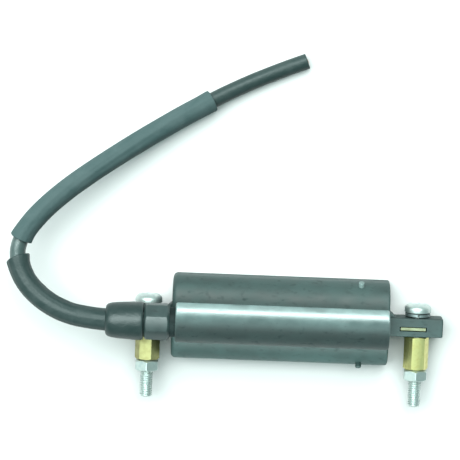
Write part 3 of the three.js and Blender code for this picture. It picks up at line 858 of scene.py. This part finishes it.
def boot():
    """A tapered rubber boot with a rounded nose and mouth."""
    low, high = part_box("lead_boot")
    profile = [(low.x + along * MM, radius * MM) for along, radius in BOOT_NOSE]
    profile += [(high.x - along * MM, radius * MM) for along, radius in BOOT_MOUTH]
    profile.append((low.x + BOOT_BORE[0] * MM, BOOT_BORE[1] * MM))
    piece = turned_x("lead_boot_skin", profile, TOWER_LINE, segments=96, closed=True)
    return placed(smooth(piece, angle=50), BOOT_RUBBER, "boot", BODY, "lead_boot")


def polygon_radius(sides, flats, limit, turn=0.0, flatness=1.0):
    """The radius of a polygon at an angle, held under a limit. Below 1, flatness crowns its sides."""
    step = 2 * math.pi / sides

    def radius(angle):
        offset = (angle - turn + step / 2) % step - step / 2
        return min(flats / 2 / math.cos(offset) ** flatness, limit)
    return radius


def turned_down(low, high, chamfer, small, corner, polygon):
    """(along, radius) rows of a polygon whose corners are turned down to a small radius at both ends.
    polygon gives its radius, held under a limit."""
    steps = 6
    rise = []
    for i in range(steps + 1):
        share = i / steps
        rise.append((chamfer * share, polygon(small + (corner - small) * share)))
    rows = [(low + along, radius) for along, radius in rise]
    return rows + [(high - along, radius) for along, radius in reversed(rise)]


def gland():
    """An octagonal nut, turned down at both ends so that its corners end in curved notches."""
    low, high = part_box("gland_nut")
    small = GLAND_CORNER_RADIUS - GLAND_CHAMFER
    face = small - GLAND_FACE_EDGE

    def polygon(limit):
        return polygon_radius(8, GLAND_FLATS, limit, flatness=GLAND_FLATNESS)

    rows = [(low.x, face)]
    rows += turned_down(low.x, high.x, GLAND_CHAMFER, small, GLAND_CORNER_RADIUS, polygon)
    rows += [(high.x, face), (high.x, GLAND_BORE), (low.x + GLAND_WALL, GLAND_BORE)]
    rows += [(low.x + GLAND_WALL, GLAND_MOUTH_RADIUS), (low.x, GLAND_MOUTH_RADIUS)]
    piece = turned_x("gland_nut_body", rows, TOWER_LINE, segments=160, closed=True)
    return placed(smooth(piece, angle=12), GLAND_PLASTIC, "gland", BODY, "gland_nut")


boot_piece = boot()
gland()
strand_pieces = [strand(number) for number in range(7)]
[tuple(ROUTE.at(d)[0]) for d in steps_between(LEAD_START, LEAD_END, LEAD_STEP)]


# ---- housing ----

def body_outline(inset, bottom=0.0, steps=16):
    """(y, z) of the housing's section: flat back, straight flanks, a quarter round each side."""
    half = BODY_HALF_WIDTH - inset
    radius = SHOULDER_RADIUS - inset
    foot = (half - FOOT_RADIUS, bottom + inset + FOOT_RADIUS)
    points = arc(foot, FOOT_RADIUS, -90, 0, 3)
    points += arc((SHOULDER_Y, FLANK_HEIGHT), radius, 0, 90, steps)
    points += arc((-SHOULDER_Y, FLANK_HEIGHT), radius, 90, 180, steps)
    points += arc((-foot[0], foot[1]), FOOT_RADIUS, 180, 270, 3)
    return points


def saddle_outline(inset, steps=10):
    """(y, z) of the tower with a hollow fillet down to each shoulder."""
    reach_body = SHOULDER_RADIUS + FILLET_RADIUS
    reach_tower = TOWER_RADIUS + FILLET_RADIUS
    rise = TOWER_Z - FLANK_HEIGHT
    span = math.hypot(SHOULDER_Y, rise)
    along = (reach_body ** 2 - reach_tower ** 2 + span ** 2) / (2 * span)
    aside = math.sqrt(reach_body ** 2 - along ** 2)
    line = Vector((-SHOULDER_Y, rise)) / span
    centre = Vector((SHOULDER_Y, FLANK_HEIGHT)) + line * along + Vector((line.y, -line.x)) * aside
    to_body = Vector((SHOULDER_Y, FLANK_HEIGHT)) - centre
    to_tower = Vector((0, TOWER_Z)) - centre
    low = math.degrees(math.atan2(to_body.y, to_body.x))
    high = math.degrees(math.atan2(to_tower.y, to_tower.x)) - 360
    top = math.degrees(math.atan2(-to_tower.y, -to_tower.x))
    sink = 0.03 * MM  # puts the fillet's two edges just under the surfaces that they run into
    fillet = arc(centre, FILLET_RADIUS + inset + sink, low, high, steps)
    tower = arc((0, TOWER_Z), TOWER_RADIUS - inset, top, 180 - top, 56)
    foot = [(fillet[0][0] - inset, FLANK_HEIGHT + LONG_OVERRUN)]
    left = [(-y, z) for y, z in reversed(foot + fillet[:-1])]
    return foot + fillet[:-1] + tower + left


def gusset(side):
    """The slanting web between an ear and the end wall, on the side of the screw heads."""
    wall = BODY_RIGHT if side > 0 else BODY_LEFT
    root = wall - side * WALL / 2
    reach = EAR_HALF_THICKNESS + GUSSET_REACH
    corners = [(root, 0), (wall + side * reach, 0), (wall, reach), (root, reach)]
    levels = (BOLT_Z - GUSSET_HALF_HEIGHT, BOLT_Z + GUSSET_HALF_HEIGHT)
    return loft("gusset", [[Vector((x, y, z)) for x, y in corners] for z in levels])


def ear_outline(inset):
    """(y, z) of an ear: a bar with rounded long edges."""
    half_y = EAR_HALF_THICKNESS - inset
    half_z = EAR_HALF_HEIGHT - inset
    points = []
    for sign_y, sign_z, start in ((1, -1, -90), (1, 1, 0), (-1, 1, 90), (-1, -1, 180)):
        centre = (sign_y * (half_y - EAR_EDGE), BOLT_Z + sign_z * (half_z - EAR_EDGE))
        points += arc(centre, EAR_EDGE, start, start + 90, 4)
    return points


def ear(side):
    wall = BODY_RIGHT if side > 0 else BODY_LEFT
    ends = sorted((wall - side * WALL / 2, side * EAR_END))
    return pushed_x("ear", ear_outline, ends, (EAR_EDGE, EAR_EDGE), 4)


def shoulder_axis(side):
    """Where a shoulder peg's line starts, and the way it points."""
    start = Vector((PEG_X, side * SHOULDER_Y, FLANK_HEIGHT))
    return start, Vector((0, side * math.cos(PEG_LEAN), math.sin(PEG_LEAN)))


def peg_hole(side):
    start, axis = shoulder_axis(side)
    rows = [(PEG_INNER - OVERRUN, PEG_HOLE_RADIUS), (PEG_OUTER + OVERRUN, PEG_HOLE_RADIUS)]
    return loft("peg_hole", turned_rings(rows, start, axis, ALONG_X, segments=32))


def bolt_hole(side):
    """The screw's hole, with a small chamfer at both mouths."""
    chamfer = 0.4 * MM
    mouth = (EAR_HALF_THICKNESS + OVERRUN, BOLT_HOLE_RADIUS + chamfer + OVERRUN)
    waist = (EAR_HALF_THICKNESS - chamfer, BOLT_HOLE_RADIUS)
    rows = [(-mouth[0], mouth[1]), (-waist[0], waist[1]), waist, mouth]
    return turned_y("bolt_hole", rows, Vector((side * BOLT_X, 0, BOLT_Z)), segments=56)


def plate_slot(side):
    near, far = sorted((side * SLOT["near"], side * SLOT["far"]))
    top = BOLT_Z + EAR_HALF_HEIGHT + LONG_OVERRUN
    return block("plate_slot", (near, SLOT["back"], SLOT["bottom"]), (far, SLOT["front"], top))


def hollow_tools():
    """The cavities and holes inside the housing, as in the CAD part."""
    cavity_left = BODY_LEFT + WALL
    cavity_right = BODY_RIGHT - WALL

    def cavity(_):
        return body_outline(WALL, -WALL - LONG_OVERRUN)

    sharp = (0.01 * MM, 0.01 * MM)
    yield pushed_x("cavity", cavity, (cavity_left, cavity_right), sharp, 1)
    tower_cavity = (TOWER_CAVITY_LEFT, cavity_right)
    yield rod_x("tower_cavity", TOWER_CAVITY_RADIUS, tower_cavity, TOWER_Z, segments=64)
    half = TOWER_SLOT_WIDTH / 2
    top = TOWER_Z - TOWER_CAVITY_RADIUS + OVERRUN
    yield block("tower_slot", (TOWER_CAVITY_LEFT, -half, FLANK_HEIGHT), (cavity_right, half, top))
    yield rod_x("socket", SOCKET_RADIUS, (NECK_LEFT - LONG_OVERRUN, SOCKET_END), TOWER_Z, segments=56)
    stem = (SOCKET_END - OVERRUN, TOWER_CAVITY_LEFT + OVERRUN)
    yield rod_x("stem_hole", STEM_HOLE_RADIUS, stem, TOWER_Z)
    for side, wall in ((-1, -cavity_left), (1, cavity_right)):
        ends = sorted((side * (wall - OVERRUN), side * (SLOT["near"] + OVERRUN)))
        yield rod_x("link_hole", LINK_HOLE_RADIUS, ends, LINK_Z, LINK_Y)
        yield bolt_hole(side)
        yield plate_slot(side)
        yield peg_hole(side)


def tower_zone():
    """Where the moulding has the tower's gloss and its paler colour, which is painted light: above the
    shoulders.
    """
    low = (TOWER_LEFT - 0.05 * MM, -BODY_HALF_WIDTH, GLOSS_AND_PAINTED_LIGHT_BOTTOM)
    high = (BODY_RIGHT + OVERRUN, BODY_HALF_WIDTH, TOWER_Z + TOWER_RADIUS + OVERRUN)
    return block("tower_zone", low, high)


def neck():
    """The round neck at the left end of the tower, with a rounded rim."""
    rim = [(0.0, NECK_EDGE), (0.3 * NECK_EDGE, 0.3 * NECK_EDGE), (NECK_EDGE, 0.0)]
    rows = [(NECK_LEFT + along, NECK_RADIUS - inset) for along, inset in rim]
    rows.append((TOWER_LEFT + 2 * MM, NECK_RADIUS))
    return turned_x("neck", rows, TOWER_LINE, segments=72)


def tower():
    ends = (TOWER_LEFT, TOWER_RIGHT)
    return pushed_x("tower", saddle_outline, ends, (TOWER_EDGE, TOWER_EDGE), 6)


def housing():
    """The moulding, made whole and then cut in two, so that the tower can be glossier than the shell
    and, as painted light, paler.
    """
    ends = (BODY_LEFT, BODY_RIGHT)
    shell = pushed_x("housing_shell", body_outline, ends, (LEFT_EDGE, RIGHT_EDGE), 7)
    for part in (tower(), neck(), ear(-1), ear(1), gusset(-1), gusset(1)):
        combined(shell, part, "UNION")
    for tool in hollow_tools():
        combined(shell, tool, "DIFFERENCE")
    tower_skin = object_of("housing_tower", shell.data.copy())
    combined(tower_skin, tower_zone(), "INTERSECT")
    combined(shell, tower_zone(), "DIFFERENCE")
    placed(smooth(shell), HOUSING_PLASTIC, "housing", BODY, "main_housing")
    # Past the ends of the body there are only the neck, high up, and the ears, below it.
    outside = -BODY_LEFT + 0.1 * MM
    above_ears = TOWER_Z - NECK_RADIUS - 0.1 * MM
    # The neck gets painted shade: a near-black copy of the housing plastic.
    repainted(shell, NECK_PAINTED_SHADE, lambda place: place.x < -outside and place.z > above_ears)
    # The ears get painted shade: a darker copy of the housing plastic.
    repainted(shell, EAR_PAINTED_SHADE, lambda place: abs(place.x) > outside and place.z < above_ears)
    # The tower's paler plastic is painted light.
    placed(smooth(tower_skin), TOWER_PLASTIC_PAINTED_LIGHT, "housing", BODY, "main_housing")
    return shell, tower_skin


def peg(side, name, node, material):
    """A shoulder peg with a rounded rim."""
    start, axis = shoulder_axis(side)
    rows = [(PEG_INNER, PEG_RADIUS)]
    for i in range(6):
        angle = math.pi / 2 * i / 5
        along = PEG_OUTER - PEG_RIM * (1 - math.sin(angle))
        rows.append((along, PEG_RADIUS - PEG_RIM * (1 - math.cos(angle))))
    piece = loft(name, turned_rings(rows, start, axis, ALONG_X, segments=40))
    return placed(smooth(piece), material, "housing", BODY, node)


shell_piece, tower_piece = housing()
# The front peg's pale plastic is a painted highlight.
front_peg = peg(1, "peg_front", "shoulder_peg_front", PEG_PAINTED_HIGHLIGHT)
rear_peg = peg(-1, "peg_rear", "shoulder_peg_rear", HOUSING_PLASTIC)


# ---- fasteners ----

def thread_radius(along, limit):
    """A right-hand thread's radius at a place along Y, held under a limit, as a function of angle."""
    def radius(angle):
        phase = (along / THREAD_PITCH - angle / (2 * math.pi)) % 1.0
        flank = min(1.0, max(0.0, abs(phase - 0.5) * FLANK_SLOPE - ROOT_FLAT))
        return min(SHANK_RADIUS - THREAD_DEPTH * (1 - flank), limit)
    return radius


def screw_rows(tip, top):
    """(along, radius) rows of a pan-head screw from its point to the top of its head."""
    rows = [(tip, POINT_RADIUS)]
    for along in steps_between(tip + POINT_EDGE, THREAD_START, THREAD_PITCH / 8):
        limit = POINT_RADIUS + POINT_EDGE + (along - tip) * POINT_SLOPE
        rows.append((along, thread_radius(along, limit)))
    rows += [(THREAD_START + along, SHANK_RADIUS - inset) for along, inset in THREAD_RUN_OUT]
    rows += [(HEAD_SEAT - SEAT_FILLET, SHANK_RADIUS), (HEAD_SEAT, SHANK_RADIUS + SEAT_FILLET)]
    rows += [(HEAD_SEAT + along, HEAD_RADIUS - inset) for along, inset in HEAD_RIM]
    side_top = HEAD_SEAT + HEAD_SIDE
    for i in range(12):
        angle = math.pi / 2 * i / 12
        radius = HEAD_RADIUS * (DOME_FLAT + (1 - DOME_FLAT) * math.cos(angle) ** DOME_POWER)
        rows.append((side_top + (top - side_top) * math.sin(angle), radius))
    rows.append((top, HEAD_TOP_RADIUS))
    return rows


def cross_recess(top, centre):
    """A tapered cross for a screwdriver: one blade, then the other, a little deeper."""
    for turn, depth in zip((0, math.pi / 2), RECESS_DEPTHS):
        across = Vector((math.cos(turn), 0, math.sin(turn)))
        beside = Vector((-math.sin(turn), 0, math.cos(turn)))
        rings = []
        for along, (reach, width) in ((OVERRUN, RECESS_MOUTH), (-depth, RECESS_BOTTOM)):
            middle = Vector((centre.x, top + along, centre.z))
            corners = ((-reach, -width), (reach, -width), (reach, width), (-reach, width))
            rings.append([middle + across * a + beside * b for a, b in corners])
        yield loft("recess", rings)


def screw(side):
    node = f"screw_{side}"
    low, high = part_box(node)
    centre = Vector(((low.x + high.x) / 2, 0, (low.z + high.z) / 2))
    piece = turned_y(f"{node}_threaded", screw_rows(low.y, high.y), centre, segments=48)
    for tool in cross_recess(high.y, centre):
        combined(piece, tool, "DIFFERENCE")
    return placed(smooth(piece, angle=40), ZINC, "zinc", node, node)


def hex_piece(name, node, turn, bore, chamfer, flatness=1.0):
    """A hexagon along Y, its corners turned down at both ends and its bore countersunk."""
    low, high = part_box(node)
    centre = Vector(((low.x + high.x) / 2, 0, BOLT_Z))
    corner = HEX_FLATS / 2 / math.cos(math.pi / 6) - HEX_CORNER_EDGE
    small = corner - chamfer * HEX_CHAMFER_SLOPE
    face = small - HEX_FACE_EDGE

    def polygon(limit):
        return polygon_radius(6, HEX_FLATS, limit, turn, flatness)

    rows = [(low.y, face), *turned_down(low.y, high.y, chamfer, small, corner, polygon), (high.y, face)]
    sink = COUNTERSINK
    rows += [(high.y, bore + sink), (high.y - sink, bore), (low.y + sink, bore), (low.y, bore + sink)]
    return smooth(turned_y(name, rows, centre, segments=180, closed=True), angle=14)


def spacer(side, material):
    node = f"hex_spacer_{side}"
    turn = SPACER_TURN[side]
    piece = hex_piece(f"spacer_{side}", node, turn, SPACER_BORE, SPACER_CHAMFER, SPACER_FLATNESS)
    return placed(piece, material, "brass", BODY, node)


def nut(side):
    node = f"nut_{side}"
    piece = hex_piece(f"{node}_hex", node, NUT_TURN, NUT_BORE, NUT_CHAMFER)
    return placed(piece, ZINC, "zinc", node, node)


def lock_washer(side):
    """A split spring washer whose two cut ends stand slightly apart."""
    node = f"lock_washer_{side}"
    low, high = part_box(node)
    centre = (low + high) / 2
    half = (high.y - low.y) / 2 - WASHER_LIFT / 2
    section = bevelled((WASHER_INNER, -half), (WASHER_OUTER, half), WASHER_EDGE)
    rings = []
    for i in range(73):
        share = i / 72
        angle = WASHER_GAP / 2 + (2 * math.pi - WASHER_GAP) * share
        lift = (share - 0.5) * WASHER_LIFT
        spoke = Vector((math.sin(angle), 0, math.cos(angle)))
        middle = centre + ALONG_Y * lift
        rings.append([middle + spoke * radius + ALONG_Y * along for radius, along in section])
    return placed(smooth(loft(f"{node}_split", rings)), SPRING_STEEL, "zinc", BODY, node)


def contact_plate(side):
    """The sheet brass plate in an ear, with softened edges and a hole for the screw."""
    node = f"contact_plate_{side}"
    low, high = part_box(node)

    def outline(inset):
        return bevelled((low.y + inset, low.z + inset), (high.y - inset, high.z - inset), PLATE_EDGE)

    piece = pushed_x(f"{node}_sheet", outline, (low.x, high.x), (PLATE_EDGE, PLATE_EDGE), 2)
    rows = [(low.y - OVERRUN, BOLT_HOLE_RADIUS), (high.y + OVERRUN, BOLT_HOLE_RADIUS)]
    centre = Vector((math.copysign(BOLT_X, low.x), 0, BOLT_Z))
    combined(piece, turned_y("plate_hole", rows, centre, segments=48), "DIFFERENCE")
    return placed(smooth(piece), PLATE_BRASS, "brass", BODY, node)


# The left spacer has the darker brass, which is painted shade.
for side_name, spacer_brass in (("left", BRASS_PAINTED_SHADE), ("right", BRASS)):
    screw(side_name)
    lock_washer(side_name)
    contact_plate(side_name)
    spacer(side_name, spacer_brass)
    nut(side_name)


# ---- the parts inside ----

INSIDE = (
    (RESIN, ("potting_fill", "back_cover")),
    (CORE_STEEL, ("core_stack",)),
    (NYLON, ("primary_bobbin", "secondary_bobbin")),
    (PAPER, ("layer_paper",)),
    (COPPER, ("primary_winding", "secondary_winding_1", "secondary_winding_2", "secondary_winding_3")),
    (BRASS, ("ht_terminal",)),
    (BARE_COPPER, ("ht_link", "lead_conductor", "primary_link_left", "primary_link_right")),
    (BOOT_RUBBER, ("gland_seal",)),
)
for inner_material, node_names in INSIDE:
    for node_name in node_names:
        painted(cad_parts[node_name], inner_material)


# ---- floor and light ----

def floor():
    half = 3.0
    corners = [(-half, -half, 0), (half, -half, 0), (half, half, 0), (-half, half, 0)]
    mesh = bpy.data.meshes.new("floor")
    mesh.from_pydata(corners, [], [(0, 1, 2, 3)])
    piece = object_of("floor", mesh)
    look = Look("floor_white")
    base = look.mixed(look.ranged(look.grain(8), 0.3, 0.7), (0.62, 0.62, 0.62), (0.65, 0.65, 0.65))
    painted(piece, look.finished(base, 0.6))
    piece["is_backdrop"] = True
    return piece


def softbox(name, place, size, power, colour, pieces=(), link="INCLUDE", aim=(0, 0, 0)):
    """A rectangular light at a place, turned to face a point. Pieces linked to it are the only ones
    that it lights, or, with link="EXCLUDE", the only ones that it doesn't light."""
    data = bpy.data.lights.new(name, "AREA")
    data.shape = "RECTANGLE"
    data.size, data.size_y = size
    data.energy = power
    data.color = colour
    light = object_of(name, data)
    light.location = place
    light.rotation_mode = "QUATERNION"
    light.rotation_quaternion = (Vector(aim) - Vector(place)).to_track_quat("-Z", "Y")
    if pieces:
        linked = bpy.data.collections.new(f"{name}_linked")
        for piece in pieces:
            linked.objects.link(piece)
        for row in linked.collection_objects:
            row.light_linking.link_state = link
        light.light_linking.receiver_collection = linked


def surroundings(strength, colour):
    world = bpy.data.worlds.new("studio")
    world.use_nodes = True
    background = world.node_tree.nodes["Background"]
    background.inputs["Color"].default_value = (*colour, 1)
    background.inputs["Strength"].default_value = strength
    bpy.context.scene.world = world


floor_piece = floor()
surroundings(0.33, (0.62, 1.0, 0.96))

# The shell, the tower, the lead and the floor have lights of their own, which set how bright each is.
# The overhead light is for the rest, and the low one on the left touches everything.
SHELL = [shell_piece, rear_peg, front_peg]
TOWER = [tower_piece]
LEAD = [lead, upper_sleeve]
FLOOR = [floor_piece]
softbox(
    "overhead", (-0.3, 0.55, 1.6), (1.5, 1.0), 56, (0.85, 1.0, 0.98),
    [*SHELL, *TOWER, *LEAD, *FLOOR], link="EXCLUDE",
)
softbox("lead_key", (-0.5, 0.85, 1.4), (1.4, 0.9), 62, (0.85, 1.0, 0.98), LEAD)
softbox("floor_key", (-0.3, 0.75, 1.55), (2.3, 1.6), 89, (0.92, 1.0, 0.98), FLOOR)
softbox("left", (-1.3, -0.1, 0.8), (0.8, 0.8), 2.4, (0.9, 1.0, 0.98))
softbox("tower_key", (-0.1, -0.35, 1.5), (1.6, 0.6), 12, (0.85, 1.0, 0.97), TOWER)
softbox("tower_strip", (0.0, 0.85, 0.12), (1.8, 0.24), 58, (0.82, 1.0, 0.97), TOWER, aim=(0, 0, 0.03))
softbox("shell_key", (-0.1, 1.1, 1.3), (1.6, 0.6), 62, (0.95, 1.0, 0.97), SHELL)
softbox("shell_fill", (0.0, -0.8, 1.3), (1.6, 0.8), 62, (0.85, 1.0, 0.97), SHELL)
bpy.context.scene.view_settings.view_transform = "Standard"

boxes = {"cad": CAD_BOX, "visual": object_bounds()}
{name: [list(corner) for corner in box] for name, box in boxes.items()}
